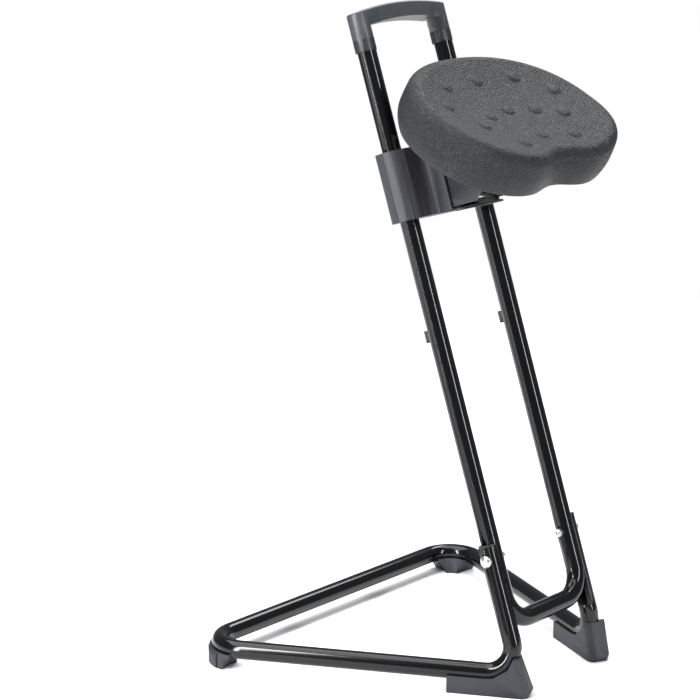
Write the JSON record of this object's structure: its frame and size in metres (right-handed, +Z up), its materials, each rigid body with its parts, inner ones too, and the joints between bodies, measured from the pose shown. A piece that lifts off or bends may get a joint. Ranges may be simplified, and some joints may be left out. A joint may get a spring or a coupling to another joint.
{
  "type": "perch stool",
  "caption": "Perch stool: tilted round-edged seat sliding on a leaning twin-tube mast with a top handle, on a splayed tube base with rubbery feet",
  "frame": {"origin": "middle of the footprint, on the floor", "axes": "+X to the right across the stool seen from its front, +Y towards its back, +Z up"},
  "size_m": [0.545, 0.4257, 0.8682],
  "materials": {
    "frame_paint": "gloss black powder coat",
    "grip_plastic": "satin dark grey moulded plastic",
    "black_plastic": "black moulded plastic",
    "foot_plastic": "matte dark blue-grey moulded plastic",
    "cover_plastic": "matte dark blue-grey moulded plastic",
    "bush_plastic": "off-white bearing plastic",
    "bracket_paint": "dark grey powder coat",
    "seat_foam": "self-skinned polyurethane foam with a fine leather grain",
    "plywood": "raw plywood",
    "dark_screws": "black-oxide screws",
    "zinc_steel": "bright zinc-plated steel"
  },
  "bodies": {
    "frame": {"mast_tube": "frame_paint", "handle_grip": "grip_plastic", "handle_collar_left": "black_plastic", "handle_collar_right": "black_plastic", "handle_screws": "dark_screws", "travel_stop_left": "black_plastic", "travel_stop_right": "black_plastic", "base_bolt_left": "zinc_steel", "base_bolt_right": "zinc_steel", "base_nut_left": "zinc_steel", "base_nut_right": "zinc_steel", "base_tube": "frame_paint", "leg_cap_left": "black_plastic", "leg_cap_right": "black_plastic", "front_foot_left": "foot_plastic", "front_foot_right": "foot_plastic", "rear_foot_left": "foot_plastic", "rear_foot_right": "foot_plastic", "foot_screws": "zinc_steel"},
    "carriage": {"carriage_frame": "bracket_paint", "guide_bush_upper_left": "bush_plastic", "guide_bush_upper_right": "bush_plastic", "guide_bush_lower_left": "bush_plastic", "guide_bush_lower_right": "bush_plastic", "clamp_plate": "bracket_paint", "clamp_springs": "zinc_steel", "cover_front": "cover_plastic", "cover_rear": "cover_plastic", "cover_screws": "dark_screws", "seat_bracket": "bracket_paint", "bracket_screws": "zinc_steel", "lever_pin": "zinc_steel", "pin_clips": "zinc_steel", "seat_insert": "plywood", "seat_screws": "zinc_steel", "seat_pad": "seat_foam"},
    "lever": {"release_lever": "bracket_paint", "lever_spring": "zinc_steel"}
  },
  "joints": [
    {"name": "seat_slide", "type": "slide", "parent": "frame", "child": "carriage", "axis": [0, 0.3223, 0.9466], "range_m": [-0.14, 0.13]},
    {"name": "lever_release", "type": "hinge", "parent": "carriage", "child": "lever", "pos_m": [0, -0.03409, 0.62206], "axis": [-1, 0, 0], "range_deg": [0, 8]}
  ]
}
